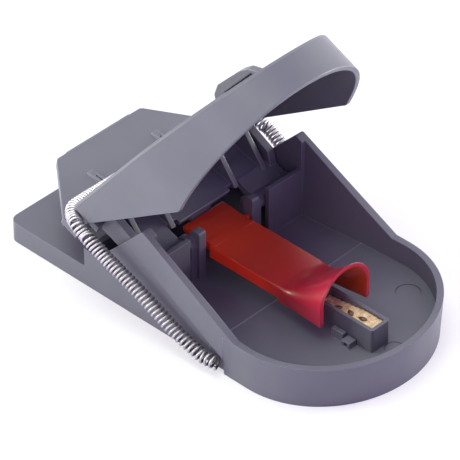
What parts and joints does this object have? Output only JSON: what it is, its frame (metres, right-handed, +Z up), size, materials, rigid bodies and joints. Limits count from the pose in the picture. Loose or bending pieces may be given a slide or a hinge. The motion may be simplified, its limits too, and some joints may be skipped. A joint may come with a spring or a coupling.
{
  "type": "mouse trap",
  "caption": "Snap mouse trap set and open: D-shaped tray, spring-loaded hood jaw on two hinge pins, tilting tunnel trigger and a small bait cup.",
  "frame": {"origin": "middle of the tray's footprint on its underside", "axes": "+X to the trap's right, +Y to the tail and pedal, +Z up; the rounded front of the tray faces -Y"},
  "size_m": [0.0604, 0.098, 0.0663],
  "materials": {
    "tray_plastic": "fine moulded grain",
    "jaw_plastic": "fine moulded grain",
    "trigger_plastic": "glossy",
    "cup_plastic": "fine moulded grain",
    "paste": "dull, slightly grainy",
    "seed": "satin",
    "spring_steel": "bright zinc",
    "pin_steel": "bright drawn"
  },
  "bodies": {
    "tray": {"base": "tray_plastic", "bait_cup": "cup_plastic", "bait": "paste", "seeds": "seed", "spring_left": "spring_steel", "spring_right": "spring_steel", "hinge_pin_left": "pin_steel", "hinge_pin_right": "pin_steel"},
    "jaw": {"jaw": "jaw_plastic"},
    "trigger": {"trigger": "trigger_plastic"}
  },
  "joints": [
    {"name": "jaw_hinge", "type": "hinge", "parent": "tray", "child": "jaw", "pos_m": [0, 0.0077, 0.0122], "axis": [1, 0, 0], "range_deg": [-3, 64.8], "deforming": ["spring_left", "spring_right"]},
    {"name": "trigger_pivot", "type": "hinge", "parent": "tray", "child": "trigger", "pos_m": [0, 0.006, 0.0112], "axis": [1, 0, 0], "range_deg": [0, 4]}
  ]
}
